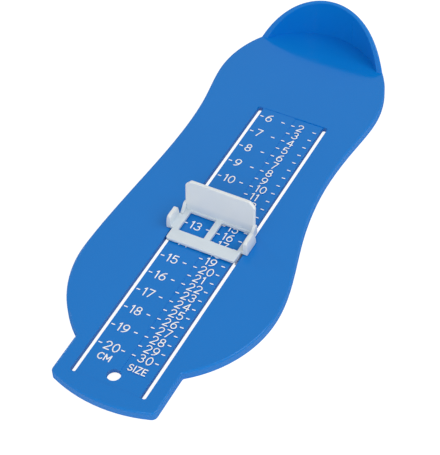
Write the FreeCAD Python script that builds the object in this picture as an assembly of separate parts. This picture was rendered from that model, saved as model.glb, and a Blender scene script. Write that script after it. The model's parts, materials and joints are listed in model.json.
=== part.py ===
import FreeCAD, Part
import math
import os

from FreeCAD import Vector

# Children's foot measuring device: a sole-shaped plate with a heel stop and a toe slider.
#
# Frame: X across the sole, +X on the side of the size numbers. +Y points to the heel and
# -Y to the toe. +Z is up and z = 0 is the table. Places along the sole are readings, in mm
# from the zero of the scale at the heel stop, and a reading r lies at y = -r. Places across
# the sole count from the middle between the slots. The finished model is then moved so that its
# origin is the centre of its footprint.

# ---- Plate ---------------------------------------------------------------------------
plate_height = 4.0        # table to the top face
web_thickness = 2.4       # top web over the hollow underside
rim_thickness = 1.8       # skirt round the underside
rim_round = 0.9           # rounded top edge of the skirt

heel_x = -6.35            # centre of the heel's round end, across the sole
heel_reading = 33.1       # the same centre, along the sole
heel_radius = 36.45
heel_arc_angle = 46.0     # the round end reaches this far each side of straight back

heel_side_reading = 36.0  # places along the sole where its half widths are set
shank_reading = 58.0
waist_reading = 84.0
instep_reading = 116.0
joint_reading = 138.0
ball_reading = 158.5
heel_left = 43.95         # half widths there, each side of the middle
heel_right = 32.28
shank_left = 41.42
shank_right = 31.03
waist_left = 40.12
waist_right = 29.58
instep_left = 42.07
instep_right = 34.03
joint_left = 43.77
joint_right = 40.08
ball_left = 44.52
ball_right = 43.08
front_radius = 52.2       # from the ball round to the toe tab

tab_width = 46.5
tab_length = 24.55        # from the shoulder to the toe end, on the middle line
tab_end_radius = 62.0
tab_end_x = 1.2           # centre of that radius, across the sole
tab_corner_radius = 2.5
shoulder_radius = 1.2     # inside corner where the tab leaves the sole

# ---- Heel stop -----------------------------------------------------------------------
stop_height = 23.6        # table to the top of the stop
stop_setback = 0.15       # its outer face inside the heel's round end, at the top face
stop_lean = 4.7           # degrees that its outer face leans in
stop_base = 2.6           # its thickness at the top face
stop_lip = 1.4            # its thickness at the top
stop_end_reading = 13.1   # its edge runs down to the top face here
stop_bulge = 0.9          # and bows up by this much on the way
stop_round = 0.55         # rounded top edge
stop_tip = 0.7            # the edge would end this much higher if it were sharp

# ---- Scale bed, slots and hanging hole -----------------------------------------------
slot_middle = 15.5        # middle of each slot from the middle between them
slot_width = 2.35
slot_start = 55.0         # reading of the heel end
slot_toe_margin = 8.3     # from the toe end of the slots to the toe end of the tab
slot_corner = 0.8
bed_depth = 0.18          # scale bed below the top face
size_bed_x = 1.23         # the size numbers lie in a shallow panel from here to the slot
size_bed_step = 0.17
size_bed_margin = 8.8     # from the toe end of that panel to the toe end of the slots
hole_setback = 13.55      # from the hole's middle to the toe end of the tab
hole_diameter = 5.7

# ---- Graduations ---------------------------------------------------------------------
mark_length = 1.9
mark_width = 0.65
mark_height = 0.15        # stands proud of the bed
mark_spread = 5.1         # from the middle of a column to the middle of its marks
centimetre_pitch = 10.0
centimetre_middle = -7.6  # middle of the column of centimetre numbers
size_pitch = 5.0
size_offset = 50.0        # reading of size 0
size_middle = 7.36        # middle of the column of size numbers
scale_heel_margin = 4.0   # no mark lies nearer than this to the heel end of the bed
scale_toe_margin = 16.0   # nor nearer than this to its toe end

# ---- Slider --------------------------------------------------------------------------
running_gap = 0.3
slider_reading = 132.35   # middle of the frame at rest
frame_length = 19.1
frame_thickness = 1.2
frame_corner = 1.0
window_bar = 2.7          # bar between the windows
window_bar_x = 0.2        # middle of that bar, across the sole
window_left_border = 2.7  # from the left window to the side of the frame
window_right_border = 1.45
window_heel_border = 2.05
window_toe_border = 5.8
window_corner = 0.35

panel_proud = 0.2         # each side of the frame
panel_top = 20.8          # table to the top of the panel
panel_thickness = 1.5
panel_lean = 5.0          # degrees that the panel leans to the heel
panel_corner = 2.4        # its top corners are cut back by this much
panel_corner_round = 1.2
edge_round = 0.35

gusset_height = 3.4       # above the frame
gusset_length = 3.1       # along the frame from the panel
gusset_thickness = 1.3
gusset_proud = 0.7        # outside the panel's edge

ear_length = 8.1
ear_setback = 0.6         # its middle, from the middle of the frame to the heel
ear_height = 6.2          # from its underside
ear_thickness = 1.9
ear_reach = 2.9           # from the side of the frame to its outer face
ear_slope = 1.1           # its heel edge leans over by this much
ear_toe_slope = 0.5       # and its toe edge by this much
ear_bevel = 0.4           # top of the outer face leans in by this much
ear_corner = 1.3
ear_web = 1.2             # thickness of the web that carries it

leg_length = 14.0
leg_thickness = 1.1
barb_reach = 1.8          # snap edge under the plate, from the leg's outer face
barb_thickness = 0.9

bed_floor = plate_height - bed_depth
web_underside = plate_height - web_thickness
stop_foot = plate_height - web_thickness / 2      # the stop starts inside the web
frame_floor = plate_height + running_gap
frame_top = frame_floor + frame_thickness
frame_root = frame_floor + frame_thickness / 3    # panel and legs start inside the frame
leg_inner = slot_middle - slot_width / 2 + running_gap
leg_outer = leg_inner + leg_thickness             # the legs stand flush with the frame's sides
panel_half = leg_outer + panel_proud

past = 1.0                # cutters and joined roots run past a face by this much
near = 0.01               # places closer than this are the same place
most_round = 0.4          # an edge's radius is at most this part of the wall's thickness


def front_reach(width):
    """How far past the ball the front arc of that side meets the side of the tab."""
    return math.sqrt(front_radius ** 2 - (front_radius - width + tab_width / 2) ** 2)


shoulder_reading = ball_reading + max(front_reach(ball_left), front_reach(ball_right))
tab_reading = shoulder_reading + tab_length
slot_end = tab_reading - slot_toe_margin
size_bed_end = slot_end - size_bed_margin
hole_reading = tab_reading - hole_setback


def at(x, reading, z=0.0):
    """Point at a place across the sole, a reading along it and a height."""
    return Vector(x, -reading, z)


def arc_through(centre, radius, start_angle, end_angle):
    """Arc in plan, drawn from one angle to the other, in degrees anticlockwise from +X."""
    angles = (start_angle, (start_angle + end_angle) / 2, end_angle)
    points = [centre + Vector(math.cos(math.radians(a)), math.sin(math.radians(a)), 0) * radius
              for a in angles]
    return Part.Arc(*points).toShape()


def plan_angle(centre, point):
    return math.degrees(math.atan2(point.y - centre.y, point.x - centre.x))


def rounded_wire(corners):
    """Closed wire through (point, radius) corners, each rounded with its own arc."""
    edges, previous_end = [], None
    count = len(corners)
    for index, (corner, radius) in enumerate(corners):
        before = (corners[index - 1][0] - corner).normalize()
        after = (corners[(index + 1) % count][0] - corner).normalize()
        half = before.getAngle(after) / 2
        reach = radius / math.tan(half)
        start, end = corner + before * reach, corner + after * reach
        if previous_end is not None:
            edges.append(Part.makeLine(previous_end, start))
        if radius > 0:
            inward = (before + after).normalize()
            middle = corner + inward * (radius / math.sin(half) - radius)
            edges.append(Part.Arc(start, middle, end).toShape())
        if index == 0:
            first_start = start
        previous_end = end
    edges.append(Part.makeLine(previous_end, first_start))
    return Part.Wire(edges)


def slab(wire, direction):
    return Part.Face(wire).extrude(direction)


def plan_slab(x_range, reading_range, z_range, corner=0.0):
    """Flat block with rounded corners in plan."""
    (x0, x1), (r0, r1), (z0, z1) = x_range, reading_range, z_range
    corners = [(at(x0, r0, z0), corner), (at(x0, r1, z0), corner),
               (at(x1, r1, z0), corner), (at(x1, r0, z0), corner)]
    return slab(rounded_wire(corners), Vector(0, 0, z1 - z0))


def mirrored(shape):
    """The same shape on the other side of the middle between the slots."""
    return shape.mirror(Vector(0, 0, 0), Vector(1, 0, 0))


# ---- Sole outline --------------------------------------------------------------------
def side_curve(side, inset):
    """Smooth edge from the heel's round end past heel, waist and instep to the ball."""
    centre = at(heel_x, heel_reading)
    angle = math.radians(heel_arc_angle)
    outward = Vector(side * math.sin(angle), math.cos(angle), 0)
    along = Vector(side * math.cos(angle), -math.sin(angle), 0)
    stations = [(heel_side_reading, heel_left, heel_right), (shank_reading, shank_left, shank_right),
                (waist_reading, waist_left, waist_right), (instep_reading, instep_left, instep_right),
                (joint_reading, joint_left, joint_right), (ball_reading, ball_left, ball_right)]
    points = [centre + outward * (heel_radius - inset)]
    for reading, left, right in stations:
        width = left if side < 0 else right
        points.append(at(side * (width - inset), reading))
    lengths = [0.0]
    for start, end in zip(points, points[1:]):
        lengths.append(lengths[-1] + start.distanceToPoint(end))
    curve = Part.BSplineCurve()
    curve.interpolate(Points=points, Parameters=lengths, InitialTangent=along, Scale=False,
                      FinalTangent=Vector(0, -1, 0))
    return curve.toShape()


def front_curve(side, inset):
    """Arc from the ball of the sole to the side of the toe tab."""
    width = ball_left if side < 0 else ball_right
    centre = at(side * (width - front_radius), ball_reading)
    radius = front_radius - inset
    across = side * (tab_width / 2 - inset) - centre.x
    shoulder = centre + Vector(across, -math.sqrt(radius ** 2 - across ** 2), 0)
    start = 0.0 if side > 0 else -180.0
    return arc_through(centre, radius, start, plan_angle(centre, shoulder)), shoulder


def toe_corner(side, inset):
    """Corner where the side of the tab would meet the round toe end."""
    tab_x = side * (tab_width / 2 - inset)
    radius = tab_end_radius - inset
    across = tab_x - tab_end_x
    return at(tab_x, tab_reading - tab_end_radius + math.sqrt(radius ** 2 - across ** 2))


def sole_outline(inset=0.0):
    """Face of the sole in plan, drawn in by the inset all round."""
    centre = at(heel_x, heel_reading)
    heel = arc_through(centre, heel_radius - inset, 90 + heel_arc_angle, 90 - heel_arc_angle)
    right_front, right_shoulder = front_curve(1, inset)
    left_front, left_shoulder = front_curve(-1, inset)
    right_toe, left_toe = toe_corner(1, inset), toe_corner(-1, inset)
    toe_centre = at(tab_end_x, tab_reading - tab_end_radius)
    toe = arc_through(toe_centre, tab_end_radius - inset,
                      plan_angle(toe_centre, right_toe), plan_angle(toe_centre, left_toe))
    edges = [heel, side_curve(1, inset), right_front, Part.makeLine(right_shoulder, right_toe),
             toe, Part.makeLine(left_toe, left_shoulder), left_front, side_curve(-1, inset)]
    return Part.Face(Part.Wire(Part.__sortEdges__(edges)))


def upright_edges(solid, places):
    """The vertical edges that stand at the given places in plan."""
    found = []
    for edge in solid.Edges:
        ends = [vertex.Point for vertex in edge.Vertexes]
        if len(ends) < 2 or abs(ends[0].z - ends[1].z) < plate_height / 2:
            continue
        if any(math.hypot(ends[0].x - p.x, ends[0].y - p.y) < near for p in places):
            found.append(edge)
    return found


def top_face(solid, height):
    flat = [face for face in solid.Faces
            if abs(face.BoundBox.ZMin - height) < near and abs(face.BoundBox.ZMax - height) < near]
    return max(flat, key=lambda face: face.Area)


# ---- Base plate ----------------------------------------------------------------------
def sole_block():
    """Outer block of the plate with its corners and top edge rounded."""
    block = sole_outline().extrude(Vector(0, 0, plate_height))
    shoulders = [front_curve(side, 0)[1] for side in (-1, 1)]
    block = block.makeFillet(shoulder_radius, upright_edges(block, shoulders))
    toes = [toe_corner(side, 0) for side in (-1, 1)]
    block = block.makeFillet(tab_corner_radius, upright_edges(block, toes))
    return block.makeFillet(rim_round, top_face(block, plate_height).OuterWire.Edges)


def stop_radii(z):
    """Outer and inner radius of the heel stop at a height."""
    rise = z - plate_height
    outer = heel_radius - stop_setback - rise * math.tan(math.radians(stop_lean))
    thickness = stop_base + (stop_lip - stop_base) * rise / (stop_height - plate_height)
    return outer, outer - thickness


def stop_wall():
    """Half ring round the heel, thinner at the top, before its edge is cut."""
    over = stop_height + 2 * stop_tip
    axis = at(heel_x, heel_reading)
    foot_outer, foot_inner = stop_radii(stop_foot)
    over_outer, over_inner = stop_radii(over)
    corners = [axis + Vector(0, radius, z) for radius, z in
               ((foot_inner, stop_foot), (foot_outer, stop_foot), (over_outer, over), (over_inner, over))]
    section = Part.makePolygon(corners + corners[:1])
    half_turn = 180.0
    wall = Part.Face(section).revolve(axis, Vector(0, 0, 1), half_turn)
    wall.rotate(axis, Vector(0, 0, 1), -half_turn / 2)
    return wall


def heel_stop():
    """Wall round the heel with a bowed edge that rises from its two ends."""
    foot = at(heel_x, stop_end_reading, plate_height)
    tip_height = stop_height + stop_tip
    tip = at(heel_x, heel_reading - stop_radii(tip_height)[0], tip_height)
    chord = tip - foot
    drum_radius = (chord.Length ** 2 / 4 + stop_bulge ** 2) / (2 * stop_bulge)
    outward = Vector(0, -chord.z, chord.y).normalize()
    width = 4 * heel_radius
    centre = foot + chord * 0.5 + outward * (stop_bulge - drum_radius) - Vector(width / 2, 0, 0)
    wall = stop_wall().common(Part.makeCylinder(drum_radius, width, centre, Vector(1, 0, 0)))
    edge_faces = [face for face in wall.Faces if isinstance(face.Surface, Part.Cylinder)
                  and abs(face.Surface.Radius - drum_radius) < near]
    rims = [edge for face in edge_faces for edge in face.Edges
            if edge.BoundBox.ZLength > stop_height / 2]
    wall = wall.makeFillet(min(stop_round, most_round * stop_lip), rims)
    wall.translate(Vector(0, 0, stop_height - wall.optimalBoundingBox(False, False).ZMax))
    return wall


def slot_cut(side):
    middle = side * slot_middle
    half = slot_width / 2
    return plan_slab((middle - half, middle + half), (slot_start, slot_end),
                     (-past, plate_height + past), slot_corner)


def base_plate():
    """One moulding: rimmed sole plate, heel stop, scale bed, two slots and a hanging hole."""
    body = sole_block()
    hollow = sole_outline(rim_thickness).extrude(Vector(0, 0, web_underside))
    body = body.cut(hollow)
    body = body.fuse(heel_stop())
    above = plate_height + past
    bed = plan_slab((-slot_middle, slot_middle), (slot_start, slot_end), (bed_floor, above))
    size_bed = plan_slab((size_bed_x, slot_middle), (slot_start, size_bed_end),
                         (bed_floor - size_bed_step, above))
    hole = Part.makeCylinder(hole_diameter / 2, above + past, at(0, hole_reading, -past))
    for cutter in (bed, size_bed, slot_cut(-1), slot_cut(1), hole):
        body = body.cut(cutter)
    return body.removeSplitter()


# ---- Graduations ---------------------------------------------------------------------
def graduation(x, reading, floor):
    half_length, half_width = mark_length / 2, mark_width / 2
    return plan_slab((x - half_length, x + half_length), (reading - half_width, reading + half_width),
                     (floor, bed_floor + mark_height))


def mark_pairs(middle, readings, floor):
    """Bars each side of a column of numbers, a pair at every reading."""
    marks = [graduation(middle + offset, reading, floor)
             for reading in readings for offset in (-mark_spread, mark_spread)]
    return Part.makeCompound(marks)


def scale_readings(zero, pitch):
    """Readings of every number of a scale that fits on the bed."""
    first = math.ceil((slot_start + scale_heel_margin - zero) / pitch)
    last = math.floor((slot_end - scale_toe_margin - zero) / pitch)
    return [zero + number * pitch for number in range(first, last + 1)]


def centimetre_marks():
    return mark_pairs(centimetre_middle, scale_readings(0.0, centimetre_pitch), bed_floor)


def size_marks():
    return mark_pairs(size_middle, scale_readings(size_offset, size_pitch), bed_floor - size_bed_step)


# ---- Slider --------------------------------------------------------------------------
def slider_at(x, along, z):
    """Point on the slider: along counts from the middle of its frame towards the toe."""
    return at(x, slider_reading + along, z)


def slider_frame():
    """Flat frame over the scale with a window for each column of numbers."""
    heel, toe = slider_reading - frame_length / 2, slider_reading + frame_length / 2
    frame = plan_slab((-leg_outer, leg_outer), (heel, toe), (frame_floor, frame_top), frame_corner)
    frame = frame.makeFillet(min(edge_round, most_round * frame_thickness), top_face(frame, frame_top).Edges)
    readings = (heel + window_heel_border, toe - window_toe_border)
    heights = (frame_floor - past, frame_top + past)
    windows = ((window_left_border - leg_outer, window_bar_x - window_bar / 2),
               (window_bar_x + window_bar / 2, leg_outer - window_right_border))
    for x_range in windows:
        frame = frame.cut(plan_slab(x_range, readings, heights, window_corner))
    return frame


def toe_panel():
    """Upright panel that the toes touch, leaning a little to the heel."""
    lean = math.radians(panel_lean)
    rounding = min(edge_round, most_round * panel_thickness)
    rise = panel_top - frame_root - rounding - (panel_thickness - rounding) * math.sin(lean)
    top = frame_root + rounding + rise / math.cos(lean)
    heel_face = -frame_length / 2
    toe_face = heel_face + panel_thickness
    places = [(-panel_half, frame_root, 0), (panel_half, frame_root, 0),
              (panel_half, top - panel_corner, panel_corner_round),
              (panel_half - panel_corner, top, panel_corner_round),
              (-panel_half + panel_corner, top, panel_corner_round),
              (-panel_half, top - panel_corner, panel_corner_round)]
    corners = [(slider_at(x, toe_face, z), radius) for x, z, radius in places]
    panel = slab(rounded_wire(corners), Vector(0, panel_thickness, 0))
    rims = [edge for edge in panel.Edges if edge.BoundBox.YLength < near
            and edge.BoundBox.ZMax > frame_root + near]
    panel = panel.makeFillet(rounding, rims)
    panel.rotate(slider_at(0, heel_face, frame_root), Vector(1, 0, 0), -panel_lean)
    return panel


def gusset(side):
    """Small bracket between the panel's foot and the side of the frame."""
    inner = panel_half + gusset_proud - gusset_thickness
    heel = -frame_length / 2
    toe = heel + panel_thickness + gusset_length
    top = frame_top + gusset_height
    places = [(heel, frame_floor), (heel, top), (heel + panel_thickness, top),
              (toe, frame_top), (toe, frame_floor), (heel, frame_floor)]
    profile = Part.makePolygon([slider_at(inner, along, z) for along, z in places])
    bracket = slab(profile, Vector(gusset_thickness, 0, 0))
    return bracket if side > 0 else mirrored(bracket)


def ear(side):
    """Finger grip: a rounded fin that stands on a short web outside the slot."""
    top = frame_floor + ear_height
    heel, toe = -ear_setback - ear_length / 2, -ear_setback + ear_length / 2
    outer = leg_outer + ear_reach
    inner = outer - ear_thickness
    places = [(heel, frame_floor, 0), (toe, frame_floor, 0),
              (toe - ear_toe_slope, top, ear_corner), (heel + ear_slope, top, ear_corner)]
    corners = [(slider_at(inner, along, z), radius) for along, z, radius in places]
    fin = slab(rounded_wire(corners), Vector(ear_thickness, 0, 0))
    bevel_foot = frame_floor + ear_height / 2
    places = [(outer, bevel_foot), (outer + past, bevel_foot), (outer + past, top + past),
              (outer - ear_bevel, top), (outer, bevel_foot)]
    bevel = Part.makePolygon([slider_at(x, ear_length, z) for x, z in places])
    fin = fin.cut(slab(bevel, Vector(0, 2 * ear_length, 0)))
    web = plan_slab((leg_outer - past, inner + ear_thickness / 2),
                    (slider_reading + heel, slider_reading + toe),
                    (frame_floor, frame_floor + ear_web))
    grip = fin.fuse(web).removeSplitter()
    return grip if side > 0 else mirrored(grip)


def snap_leg(side):
    """Leg that passes through the slot and hooks under the plate with a barb."""
    barb_top = web_underside - running_gap
    barb_foot = barb_top - barb_thickness
    half = leg_length / 2
    tip = leg_outer + barb_reach
    places = [(leg_inner, frame_root), (leg_inner, barb_foot), (leg_outer, barb_foot),
              (tip, barb_foot + barb_thickness / 2), (tip, barb_top), (leg_outer, barb_top),
              (leg_outer, frame_root), (leg_inner, frame_root)]
    profile = Part.makePolygon([slider_at(x, half, z) for x, z in places])
    leg = slab(profile, Vector(0, leg_length, 0))
    return leg if side > 0 else mirrored(leg)


def slider():
    """One moulding: frame, toe panel, gussets, finger ears and snap legs."""
    pieces = [toe_panel()]
    for side in (-1, 1):
        pieces += [gusset(side), ear(side), snap_leg(side)]
    return slider_frame().multiFuse(pieces).removeSplitter()


# ---- Assembly ------------------------------------------------------------------------
def main():
    os.makedirs("parts", exist_ok=True)
    nodes = {
        "base_plate": base_plate(),
        "toe_slider": slider(),
        "centimetre_marks": centimetre_marks(),
        "size_marks": size_marks(),
    }
    box = Part.makeCompound(list(nodes.values())).optimalBoundingBox(False, False)
    to_origin = Vector(-(box.XMin + box.XMax) / 2, -(box.YMin + box.YMax) / 2, -box.ZMin)
    for name, shape in nodes.items():
        shape.translate(to_origin)
        shape.exportStep(f"parts/{name}.step")
        print(name, "valid", shape.isValid(), "solids", len(shape.Solids),
              "volume", round(shape.Volume, 1))
    print("middle of the slots at x", round(to_origin.x, 3), "scale zero at y", round(to_origin.y, 3))
    print("size", [round(v, 2) for v in (box.XLength, box.YLength, box.ZLength)])


main()
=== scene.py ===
import json
import math

import bmesh
import bpy
from mathutils import Matrix, Vector

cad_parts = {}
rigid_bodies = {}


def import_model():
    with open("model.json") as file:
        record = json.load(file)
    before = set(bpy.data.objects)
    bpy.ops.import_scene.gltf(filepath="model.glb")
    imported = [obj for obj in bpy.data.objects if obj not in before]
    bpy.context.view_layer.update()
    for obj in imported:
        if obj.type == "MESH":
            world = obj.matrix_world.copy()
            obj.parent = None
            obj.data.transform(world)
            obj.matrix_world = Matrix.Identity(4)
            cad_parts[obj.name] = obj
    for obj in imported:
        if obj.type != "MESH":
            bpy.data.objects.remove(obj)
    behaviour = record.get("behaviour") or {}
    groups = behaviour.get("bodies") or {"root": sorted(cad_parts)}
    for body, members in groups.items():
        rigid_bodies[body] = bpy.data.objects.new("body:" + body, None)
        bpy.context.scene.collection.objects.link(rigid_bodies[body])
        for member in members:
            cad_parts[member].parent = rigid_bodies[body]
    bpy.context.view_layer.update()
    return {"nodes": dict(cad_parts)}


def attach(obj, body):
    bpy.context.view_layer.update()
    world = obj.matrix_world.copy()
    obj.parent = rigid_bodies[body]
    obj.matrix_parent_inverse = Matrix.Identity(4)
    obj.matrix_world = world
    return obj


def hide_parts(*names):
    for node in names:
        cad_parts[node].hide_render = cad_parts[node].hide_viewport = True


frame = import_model()
print("frame loaded, nodes:", sorted(frame["nodes"]))

mm = 0.001

# The scale: x counts from the middle between the slots, readings from its zero at the heel stop.
scale = {
    "middleX": 0.72,
    "zeroY": 110.875,
    "bedTop": 3.82,
    "sizeBedTop": 3.65,
    "centimetreMiddle": -7.6,
    "sizeMiddle": 7.36,
    "sizeZero": 50.0,
    "sizePitch": 5.0,
    "centimetrePitch": 10.0,
    "firstCentimetre": 6,
    "lastCentimetre": 20,
    "firstSize": 2,
    "lastSize": 30,
}


def onScale(x, reading, z=0.0):
    return Vector((scale["middleX"] + x, scale["zeroY"] - reading, z)) * mm


# Wraps a node socket so that shader maths reads as plain Python.
class Socket:
    def __init__(self, shader, link):
        self.shader = shader
        self.link = link

    def maths(self, operation, first, second):
        return self.shader.node("ShaderNodeMath", {"operation": operation}, {0: first, 1: second})

    def __add__(self, other):
        return self.maths("ADD", self, other)

    def __radd__(self, other):
        return self.maths("ADD", other, self)

    def __sub__(self, other):
        return self.maths("SUBTRACT", self, other)

    def __rsub__(self, other):
        return self.maths("SUBTRACT", other, self)

    def __mul__(self, other):
        return self.maths("MULTIPLY", self, other)

    def __rmul__(self, other):
        return self.maths("MULTIPLY", other, self)

    # Another output of the same node.
    def sibling(self, name):
        return Socket(self.shader, self.link.node.outputs[name])


class Shader:
    def __init__(self, owner):
        self.owner = owner
        owner.use_nodes = True
        self.tree = owner.node_tree
        self.tree.nodes.clear()

    # Adds a node: its settings first, then the values or links of its sockets.
    def node(self, kind, settings=None, sockets=None, output=0):
        made = self.tree.nodes.new(kind)
        for name, value in (settings or {}).items():
            if name == "stops":
                ramp = made.color_ramp
                for index, (place, colour) in enumerate(value):
                    stop = ramp.elements[index] if index < 2 else ramp.elements.new(place)
                    stop.position, stop.color = place, colour
            else:
                setattr(made, name, value)
        for name, value in (sockets or {}).items():
            if isinstance(value, Socket):
                self.tree.links.new(value.link, made.inputs[name])
            else:
                made.inputs[name].default_value = value
        return Socket(self, made.outputs[output]) if made.outputs else None

    # The first colour where the factor is zero and the second where it is one.
    def blend(self, factor, first, second):
        return self.node("ShaderNodeMix", {"data_type": "RGBA"},
                         {0: factor, 6: first, 7: second}, output=2)

    def noise(self, place, scale, detail, roughness=0.5):
        return self.node("ShaderNodeTexNoise", None, {
            "Vector": place, "Scale": scale, "Detail": detail, "Roughness": roughness})

    def bump(self, height, strength, depth, under=None):
        sockets = {"Height": height, "Strength": strength, "Distance": depth}
        if under:
            sockets["Normal"] = under
        return self.node("ShaderNodeBump", None, sockets)

    # One for the rays that show the background: seen directly, mirrored or through something.
    def seen(self):
        camera = self.node("ShaderNodeLightPath", output="Is Camera Ray")
        return camera + camera.sibling("Is Glossy Ray") + camera.sibling("Is Transmission Ray")

    def finish(self, surface, kind="ShaderNodeOutputMaterial"):
        self.node(kind, None, {"Surface": surface})
        return self.owner


def newMaterial(name):
    return Shader(bpy.data.materials.new(name))


def linear(red, green, blue):
    def one(value):
        value /= 255
        return value / 12.92 if value <= 0.04045 else ((value + 0.055) / 1.055) ** 2.4
    return (one(red), one(green), one(blue), 1.0)


bluePlasticLook = {
    "colour": linear(7, 122, 208),
    "deepColour": linear(6, 118, 203),
    "flowScale": 28.0,
    "roughness": 0.09,
    "roughnessSpread": 0.05,
    "scuffScale": 160.0,
    "scuffLevel": 0.4,
    "specular": 0.24,
    "grazingStart": 0.3,
    "grazingRoughness": 0.9,
    "waviness": 0.035,
    "waveDepth": 0.002,
    "grain": 0.02,
    "grainScale": 900.0,
    "grainDepth": 0.0002,
}


def makeBluePlastic(look):
    shader = newMaterial("bluePlastic")
    place = shader.node("ShaderNodeTexCoord", output="Object")
    flow = shader.noise(place, look["flowScale"], 2.0)
    fine = shader.noise(place, look["grainScale"], 3.0)
    scuffs = shader.noise(place, look["scuffScale"], 6.0, 0.7)
    colour = shader.blend(flow, look["colour"], look["deepColour"])
    facing = shader.node("ShaderNodeLayerWeight", output="Facing")
    grazing = shader.node("ShaderNodeMapRange", None, {
        "Value": facing, "From Min": look["grazingStart"], "To Max": look["grazingRoughness"]})
    roughness = look["roughness"] + (scuffs - look["scuffLevel"]) * look["roughnessSpread"] + grazing
    wave = shader.bump(flow, look["waviness"], look["waveDepth"])
    grain = shader.bump(fine, look["grain"], look["grainDepth"], wave)
    surface = shader.node("ShaderNodeBsdfPrincipled", None, {
        "Base Color": colour, "Roughness": roughness, "Normal": grain,
        "Specular IOR Level": look["specular"]})
    return shader.finish(surface)


whitePlasticLook = {
    "colour": linear(233, 237, 237),
    "cloudColour": linear(227, 232, 234),
    "cloudScale": 90.0,
    # Painted light: below a given height the white plastic takes a painted blue tint, standing for light
    # from the blue plate showing through it, not the plastic's own colour.
    "paintedPlateLightColour": linear(214, 224, 231),
    "paintedPlateLightTop": 0.0065,
    "paintedPlateLightFadeTop": 0.0095,
    "roughness": 0.3,
    "roughnessSpread": 0.1,
    "grain": 0.03,
    "grainScale": 1200.0,
    "grainDepth": 0.0002,
    "milkiness": 0.25,
    "milkDepth": 0.0012,
}


def makeWhitePlastic(look):
    shader = newMaterial("whitePlastic")
    place = shader.node("ShaderNodeTexCoord", output="Object")
    cloud = shader.noise(place, look["cloudScale"], 3.0)
    fine = shader.noise(place, look["grainScale"], 2.0)
    clouded = shader.blend(cloud, look["colour"], look["cloudColour"])
    # Low on the slider the colour blends into the painted blue tint of light from the plate below; higher up
    # it is the plain white.
    height = shader.node("ShaderNodeSeparateXYZ", None, {0: place}, "Z")
    abovePaintedPlateLight = shader.node("ShaderNodeMapRange", None, {
        "Value": height, "From Min": look["paintedPlateLightTop"], "From Max": look["paintedPlateLightFadeTop"]})
    colour = shader.blend(abovePaintedPlateLight, look["paintedPlateLightColour"], clouded)
    roughness = look["roughness"] + (cloud - 0.5) * look["roughnessSpread"]
    grain = shader.bump(fine, look["grain"], look["grainDepth"])
    surface = shader.node("ShaderNodeBsdfPrincipled", None, {
        "Base Color": colour, "Roughness": roughness, "Normal": grain,
        "Subsurface Weight": look["milkiness"], "Subsurface Scale": look["milkDepth"],
        "Subsurface Radius": (1.0, 1.0, 1.0)})
    return shader.finish(surface)


whiteFoilLook = {
    "colour": linear(250, 252, 254),
    "wornColour": linear(196, 216, 236),
    "roughness": 0.42,
    "roughnessSpread": 0.1,
    "wear": 0.35,
    "patchScale": 1500.0,
    "patchStops": [(0.55, (0, 0, 0, 1)), (0.75, (1, 1, 1, 1))],
    "relief": 0.08,
    "reliefDepth": 0.00005,
}


def makeWhiteFoil(look):
    shader = newMaterial("whiteFoil")
    place = shader.node("ShaderNodeTexCoord", output="Object")
    patches = shader.noise(place, look["patchScale"], 4.0)
    worn = shader.node("ShaderNodeValToRGB", {"stops": look["patchStops"]}, {"Fac": patches})
    colour = shader.blend(worn * look["wear"], look["colour"], look["wornColour"])
    roughness = look["roughness"] + patches * look["roughnessSpread"]
    relief = shader.bump(patches, look["relief"], look["reliefDepth"])
    surface = shader.node("ShaderNodeBsdfPrincipled", None, {
        "Base Color": colour, "Roughness": roughness, "Normal": relief})
    return shader.finish(surface)


bluePlastic = makeBluePlastic(bluePlasticLook)
whitePlastic = makeWhitePlastic(whitePlasticLook)
whiteFoil = makeWhiteFoil(whiteFoilLook)
print("materials made")

moulding = {
    "mergeDistance": 0.00001,
    "flatAngle": 0.3,
    "flatWeight": 90,
    "sharpAngle": 32.0,
    "edgeRadius": 0.00014,
    "edgeSegments": 2,
}


# A smooth copy of a moulding, with the small edge radius that a mould leaves.
def makeMoulding(name, node, body, material):
    mesh = frame["nodes"][node].data.copy()
    mesh.name = name
    mesh.materials.clear()
    mesh.materials.append(material)
    form = bmesh.new()
    form.from_mesh(mesh)
    bmesh.ops.remove_doubles(form, verts=form.verts, dist=moulding["mergeDistance"])
    bmesh.ops.dissolve_limit(form, angle_limit=math.radians(moulding["flatAngle"]),
                             verts=form.verts, edges=form.edges)
    for face in form.faces:
        face.material_index = 0
        face.smooth = True
    form.to_mesh(mesh)
    form.free()
    piece = bpy.data.objects.new(name, mesh)
    bpy.context.scene.collection.objects.link(piece)
    bevel = piece.modifiers.new("mouldEdges", "BEVEL")
    bevel.width = moulding["edgeRadius"]
    bevel.segments = moulding["edgeSegments"]
    bevel.limit_method = "ANGLE"
    bevel.angle_limit = math.radians(moulding["sharpAngle"])
    weighted = piece.modifiers.new("flatFaces", "WEIGHTED_NORMAL")
    weighted.weight = moulding["flatWeight"]
    weighted.keep_sharp = True
    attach(piece, body)
    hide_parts(node)
    return piece


plate = makeMoulding("solePlate", "base_plate", "base", bluePlastic)
toeSlider = makeMoulding("toeSlider", "toe_slider", "slider", whitePlastic)
print("mouldings made")

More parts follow.
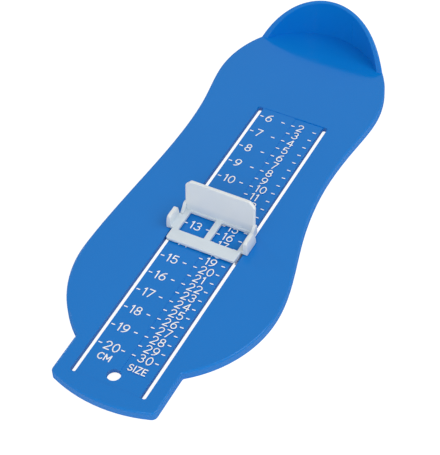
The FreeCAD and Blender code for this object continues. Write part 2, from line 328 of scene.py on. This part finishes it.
# The width of each figure in a box one unit high, and its strokes: an arc is its centre, radii,
# angles and any points that follow it, and a line is its points.
figureStrokes = {
    "0": (0.62, [("arc", 0.31, 0.5, 0.31, 0.5, 90, 450)]),
    "1": (0.24, [("line", (0.02, 0.84), (0.2, 1.0), (0.2, 0.0))]),
    "2": (0.6, [("arc", 0.3, 0.71, 0.29, 0.29, 165, -35, (0.0, 0.0), (0.6, 0.0))]),
    "3": (0.6, [("arc", 0.28, 0.75, 0.27, 0.25, 150, -90), ("arc", 0.28, 0.26, 0.31, 0.26, 85, -150)]),
    "4": (0.66, [("line", (0.5, 0.0), (0.5, 1.0), (0.0, 0.3), (0.66, 0.3))]),
    "5": (0.6, [("line", (0.54, 1.0), (0.1, 1.0), (0.05, 0.55)),
                ("arc", 0.29, 0.32, 0.31, 0.32, 135, -150)]),
    "6": (0.6, [("arc", 0.3, 0.31, 0.3, 0.31, 0, 360), ("arc", 0.62, 0.31, 0.62, 0.69, 180, 98)]),
    "7": (0.58, [("line", (0.0, 1.0), (0.58, 1.0), (0.18, 0.0))]),
    "8": (0.6, [("arc", 0.3, 0.75, 0.25, 0.25, 0, 360), ("arc", 0.3, 0.26, 0.3, 0.26, 0, 360)]),
    "9": (0.6, [("arc", 0.3, 0.69, 0.3, 0.31, 0, 360), ("arc", -0.02, 0.69, 0.62, 0.69, 0, -82)]),
    "C": (0.74, [("arc", 0.42, 0.5, 0.42, 0.5, 45, 315)]),
    "M": (0.8, [("line", (0.0, 0.0), (0.0, 1.0), (0.4, 0.3), (0.8, 1.0), (0.8, 0.0))]),
    "S": (0.56, [("arc", 0.28, 0.75, 0.26, 0.25, 35, 270), ("arc", 0.28, 0.25, 0.28, 0.25, 90, -145)]),
    "I": (0.06, [("line", (0.03, 0.0), (0.03, 1.0))]),
    "Z": (0.58, [("line", (0.0, 1.0), (0.58, 1.0), (0.0, 0.0), (0.58, 0.0))]),
    "E": (0.52, [("line", (0.52, 1.0), (0.0, 1.0), (0.0, 0.0), (0.52, 0.0)),
                 ("line", (0.0, 0.52), (0.46, 0.52))]),
    "-": (1.0, [("line", (0.0, 0.5), (1.0, 0.5))]),
}
arcSteps = 24  # in a full turn
endSides = 20  # of the round end of a stroke


# The runs of one stroke: lists of points, each open or closed.
def strokeRuns(stroke):
    if stroke[0] == "line":
        corners, runs = list(stroke[1:]), []
    else:
        x, y, across, up, start, end = stroke[1:7]
        turn = end - start
        closed = abs(turn) >= 360
        steps = round(arcSteps * abs(turn) / 360)
        angles = [math.radians(start + turn * step / steps) for step in range(steps + (0 if closed else 1))]
        arc = [(x + across * math.cos(a), y + up * math.sin(a)) for a in angles]
        corners, runs = [arc[-1], *stroke[7:]], [(arc, closed)]
    return runs + [(pair, False) for pair in zip(corners, corners[1:])]


def makeFigurePaths(name, letter, height):
    curve = bpy.data.curves.new(name, "CURVE")
    curve.dimensions = "3D"
    for stroke in figureStrokes[letter][1]:
        for points, closed in strokeRuns(stroke):
            spline = curve.splines.new("POLY")
            spline.points.add(len(points) - 1)
            for target, (px, py) in zip(spline.points, points):
                target.co = (px * height * mm, (py - 0.5) * height * mm, 0.0, 1.0)
            spline.use_cyclic_u = closed
    made = bpy.data.objects.new(name, curve)
    bpy.context.scene.collection.objects.link(made)
    return made


# A geometry node tree with named inputs after its geometry.
class Tree:
    def __init__(self, name, inputs):
        self.tree = bpy.data.node_groups.new(name, "GeometryNodeTree")
        face = self.tree.interface
        face.new_socket("Geometry", in_out="INPUT", socket_type="NodeSocketGeometry")
        self.sockets = {label: face.new_socket(label, in_out="INPUT", socket_type=kind).identifier
                        for label, kind in inputs}
        face.new_socket("Geometry", in_out="OUTPUT", socket_type="NodeSocketGeometry")
        self.start = self.tree.nodes.new("NodeGroupInput").outputs

    # Adds a node: its settings first, then the values or links of its sockets.
    def node(self, kind, settings=None, sockets=None, output=0):
        made = self.tree.nodes.new(kind)
        for name, value in (settings or {}).items():
            setattr(made, name, value)
        for name, value in (sockets or {}).items():
            links = value if isinstance(value, list) else [value]
            for link in links:
                if isinstance(link, bpy.types.NodeSocket):
                    self.tree.links.new(link, made.inputs[name])
                else:
                    made.inputs[name].default_value = link
        return made.outputs[output] if made.outputs else None

    def finish(self, geometry):
        self.node("NodeGroupOutput", None, {0: geometry})
        return self

    # Runs the tree on an object and returns the result as a plain mesh.
    def run(self, subject, values, name):
        modifier = subject.modifiers.new("made", "NODES")
        modifier.node_group = self.tree
        for label, value in values.items():
            modifier[self.sockets[label]] = value
        bpy.context.view_layer.update()
        graph = bpy.context.evaluated_depsgraph_get()
        mesh = bpy.data.meshes.new_from_object(subject.evaluated_get(graph), depsgraph=graph)
        mesh.name = name
        bpy.data.objects.remove(subject)
        return mesh


# Turns the paths of a figure into one raised solid with round stroke ends.
def makeFigureTree():
    tree = Tree("raisedFigure", [("Stroke Width", "NodeSocketFloat"), ("Relief", "NodeSocketFloat"),
                                 ("Material", "NodeSocketMaterial")])
    paths, width, relief = (tree.start[name] for name in ("Geometry", "Stroke Width", "Relief"))
    halfWidth = tree.node("ShaderNodeMath", {"operation": "MULTIPLY"}, {0: width, 1: 0.5})
    halfRelief = tree.node("ShaderNodeMath", {"operation": "MULTIPLY"}, {0: relief, 1: 0.5})
    upright = tree.node("GeometryNodeSetCurveNormal", {"mode": "Z_UP"}, {"Curve": paths})
    section = tree.node("GeometryNodeCurvePrimitiveQuadrilateral", None, {"Width": width, "Height": relief})
    bars = tree.node("GeometryNodeCurveToMesh", None,
                     {"Curve": upright, "Profile Curve": section, "Fill Caps": True})
    button = tree.node("GeometryNodeMeshCylinder", None,
                       {"Vertices": endSides, "Radius": halfWidth, "Depth": relief})
    ends = tree.node("GeometryNodeInstanceOnPoints", None,
                     {"Points": paths, "Instance": button,
                      "Selection": tree.node("GeometryNodeCurveEndpointSelection")})
    joined = tree.node("GeometryNodeMeshBoolean", {"operation": "UNION", "solver": "EXACT"},
                       {"Mesh 2": [bars, tree.node("GeometryNodeRealizeInstances", None, {0: ends})],
                        "Self Intersection": True})
    offset = tree.node("ShaderNodeCombineXYZ", None, {"Z": halfRelief})
    placed = tree.node("GeometryNodeSetPosition", None, {"Geometry": joined, "Offset": offset})
    solid = tree.node("GeometryNodeRealizeInstances", None, {0: placed})
    return tree.finish(tree.node("GeometryNodeSetMaterial", None,
                                 {"Geometry": solid, "Material": tree.start["Material"]}))


# Sets a figure on every point, white on top and the plate's colour on its sides.
def makeRowTree():
    tree = Tree("figureRow", [("Figures", "NodeSocketCollection"), ("Top Material", "NodeSocketMaterial"),
                              ("Side Material", "NodeSocketMaterial")])
    points, figures, top, side = (tree.start[name] for name in
                                  ("Geometry", "Figures", "Top Material", "Side Material"))
    library = tree.node("GeometryNodeCollectionInfo", None,
                        {"Collection": figures, "Separate Children": True, "Reset Children": True})
    index = tree.node("GeometryNodeInputNamedAttribute", {"data_type": "INT"}, {"Name": "figure"})
    row = tree.node("GeometryNodeInstanceOnPoints", None,
                    {"Points": points, "Instance": library, "Pick Instance": True, "Instance Index": index})
    solid = tree.node("GeometryNodeRealizeInstances", None, {0: row})
    sides = tree.node("GeometryNodeSetMaterial", None, {"Geometry": solid, "Material": side})
    rise = tree.node("ShaderNodeSeparateXYZ", None, {0: tree.node("GeometryNodeInputNormal")}, "Z")
    upward = tree.node("ShaderNodeMath", {"operation": "GREATER_THAN"}, {0: rise, 1: 0.5})
    return tree.finish(tree.node("GeometryNodeSetMaterial", None,
                                 {"Geometry": sides, "Selection": upward, "Material": top}))


figureTree = makeFigureTree()
rowTree = makeRowTree()


# Places figures, given as letter, height and place; every kind is made once.
def setFigures(name, places, strokeWidth, relief):
    kinds = sorted({(letter, height) for letter, height, place in places})
    library = bpy.data.collections.new(name + "Library")
    for number, (letter, height) in enumerate(kinds):
        label = f"{name}{number:02d}"
        mesh = figureTree.run(makeFigurePaths(label, letter, height),
                              {"Stroke Width": strokeWidth * mm, "Relief": relief * mm,
                               "Material": whiteFoil}, label)
        library.objects.link(bpy.data.objects.new(label, mesh))
    points = bpy.data.meshes.new(name + "Points")
    points.from_pydata([place for letter, height, place in places], [], [])
    index = points.attributes.new("figure", "INT", "POINT")
    index.data.foreach_set("value", [kinds.index(entry[:2]) for entry in places])
    row = bpy.data.objects.new(name + "Points", points)
    bpy.context.scene.collection.objects.link(row)
    mesh = rowTree.run(row, {"Figures": library, "Top Material": whiteFoil,
                             "Side Material": bluePlastic}, name)
    for figure in list(library.objects):
        bpy.data.objects.remove(figure)
    bpy.data.collections.remove(library)
    piece = bpy.data.objects.new(name, mesh)
    bpy.context.scene.collection.objects.link(piece)
    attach(piece, "base")
    return piece


markings = {
    "strokeWidth": 0.52,
    "sizeStrokeWidth": 0.49,
    "relief": 0.15,
    "sizeRelief": 0.32,
    "centimetreHeight": 3.9,
    "sizeHeight": 3.7,
    "gap": 0.3,
    "centimetreLeft": -10.32,
    "sizeLeft": 4.73,
    "tickLength": 1.2,
    "tickSpread": 5.1,
    "labelHeight": 2.9,
    "labelReading": 205.65,
    "centimetreLabelLeft": -10.35,
    "sizeLabelLeft": 3.33,
}


# Letters of a word from its left end, each with its height and place.
def wordPlaces(word, height, left, reading, floor):
    places = []
    for letter in word:
        places.append((letter, height, onScale(left, reading, floor)))
        left += (figureStrokes[letter][0] + markings["gap"]) * height
    return places


def numberPlaces(first, last, zero, pitch, left, height, floor):
    places = []
    for number in range(first, last + 1):
        places += wordPlaces(str(number), height, left, zero + number * pitch, floor)
    return places


def tickPlaces(first, last, zero, pitch, middle, floor):
    long = markings["tickLength"]
    lefts = [middle + side * markings["tickSpread"] - long / 2 for side in (-1, 1)]
    return [("-", long, onScale(left, zero + number * pitch, floor))
            for number in range(first, last + 1) for left in lefts]


def labelPlaces(word, left, floor):
    return wordPlaces(word, markings["labelHeight"], left, markings["labelReading"], floor)


centimetreRange = (scale["firstCentimetre"], scale["lastCentimetre"], 0.0, scale["centimetrePitch"])
sizeRange = (scale["firstSize"], scale["lastSize"], scale["sizeZero"], scale["sizePitch"])
centimetreStroke = (markings["strokeWidth"], markings["relief"])
sizeStroke = (markings["sizeStrokeWidth"], markings["sizeRelief"])
centimetreFigures = setFigures(
    "centimetreFigures",
    numberPlaces(*centimetreRange, markings["centimetreLeft"], markings["centimetreHeight"], scale["bedTop"])
    + labelPlaces("CM", markings["centimetreLabelLeft"], scale["bedTop"]), *centimetreStroke)
sizeFigures = setFigures(
    "sizeFigures",
    numberPlaces(*sizeRange, markings["sizeLeft"], markings["sizeHeight"], scale["sizeBedTop"])
    + labelPlaces("SIZE", markings["sizeLabelLeft"], scale["sizeBedTop"]), *sizeStroke)
centimetreTicks = setFigures(
    "centimetreTicks", tickPlaces(*centimetreRange, scale["centimetreMiddle"], scale["bedTop"]),
    *centimetreStroke)
sizeTicks = setFigures(
    "sizeTicks", tickPlaces(*sizeRange, scale["sizeMiddle"], scale["sizeBedTop"]), *sizeStroke)
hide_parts("centimetre_marks")
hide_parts("size_marks")
print("markings raised")

studio = {
    "floorHalf": 1.2,
    "floorGlow": 0.94,
    "floorShade": 0.22,
    "bounceColour": (0.86, 0.86, 0.86, 1.0),
    "roomStrength": 0.56,
    "sideStrength": 1.0,
    "brightSide": (0.3, -0.95, 0.25),
}


def makeFloor():
    mesh = bpy.data.meshes.new("studioFloor")
    half = studio["floorHalf"]
    corners = [(-half, -half, 0), (half, -half, 0), (half, half, 0), (-half, half, 0)]
    mesh.from_pydata(corners, [], [(0, 1, 2, 3)])
    floor = bpy.data.objects.new("studioFloor", mesh)
    bpy.context.scene.collection.objects.link(floor)
    shader = newMaterial("studioFloor")
    seen = shader.seen()
    shade = (studio["floorShade"],) * 3 + (1.0,)
    glow = shader.node("ShaderNodeEmission", None, {"Strength": studio["floorGlow"]})
    shaded = shader.node("ShaderNodeBsdfDiffuse", None, {"Color": shade})
    shown = shader.node("ShaderNodeAddShader", None, {0: glow, 1: shaded})
    bounce = shader.node("ShaderNodeBsdfDiffuse", None, {"Color": studio["bounceColour"]})
    surface = shader.node("ShaderNodeMixShader", None, {0: seen, 1: bounce, 2: shown})
    mesh.materials.append(shader.finish(surface))


# A light room, brighter on one side, with a plain white backdrop.
def makeWorld():
    world = bpy.data.worlds.new("studioWorld")
    bpy.context.scene.world = world
    shader = Shader(world)
    direction = shader.node("ShaderNodeTexCoord", output="Generated")
    side = shader.node("ShaderNodeVectorMath", {"operation": "DOT_PRODUCT"},
                       {0: direction, 1: studio["brightSide"]}, "Value")
    towards = shader.node("ShaderNodeClamp", None, {0: side})
    room = shader.node("ShaderNodeBackground", None, {
        "Strength": studio["roomStrength"] + towards * towards * studio["sideStrength"]})
    backdrop = shader.node("ShaderNodeBackground", None, {"Color": (1, 1, 1, 1)})
    shown = shader.node("ShaderNodeMixShader", None, {0: shader.seen(), 1: room, 2: backdrop})
    shader.finish(shown, "ShaderNodeOutputWorld")


# Place, target, size in metres and power in watts of each soft lamp.
lamps = {
    "sideLamp": ((0.65, 0.15, 0.75), (0, 0, 0), 0.6, 3.0),
    "backLamp": ((-0.74, 0.44, 0.58), (0, 0.1, 0), 0.15, 0.6),
    "frontLamp": ((0.15, -0.8, 0.67), (0, -0.1, 0), 0.3, 0.8),
}


def makeLamps():
    for name, (place, target, size, power) in lamps.items():
        light = bpy.data.lights.new(name, "AREA")
        light.size, light.energy = size, power
        lamp = bpy.data.objects.new(name, light)
        lamp.location = place
        lamp.rotation_euler = (Vector(target) - Vector(place)).to_track_quat("-Z", "Y").to_euler()
        bpy.context.scene.collection.objects.link(lamp)


cameraView = {
    "place": (0.237525, -0.422505, 0.51517),
    "target": (0.000235, -0.012485, 0.0),
    "roll": -3.342,
    "lens": 133.72,
    "clip": (0.05, 20.0),
}


def makeCamera():
    camera = bpy.data.cameras.new("camera")
    camera.lens = cameraView["lens"]
    camera.clip_start, camera.clip_end = cameraView["clip"]
    holder = bpy.data.objects.new("camera", camera)
    place, target = Vector(cameraView["place"]), Vector(cameraView["target"])
    aim = (target - place).to_track_quat("-Z", "Y").to_matrix().to_4x4()
    roll = Matrix.Rotation(math.radians(cameraView["roll"]), 4, "Z")
    holder.matrix_world = Matrix.Translation(place) @ aim @ roll
    bpy.context.scene.collection.objects.link(holder)
    bpy.context.scene.camera = holder


makeFloor()
makeWorld()
makeLamps()
makeCamera()
bpy.context.scene.view_settings.view_transform = "Standard"
print("studio ready")
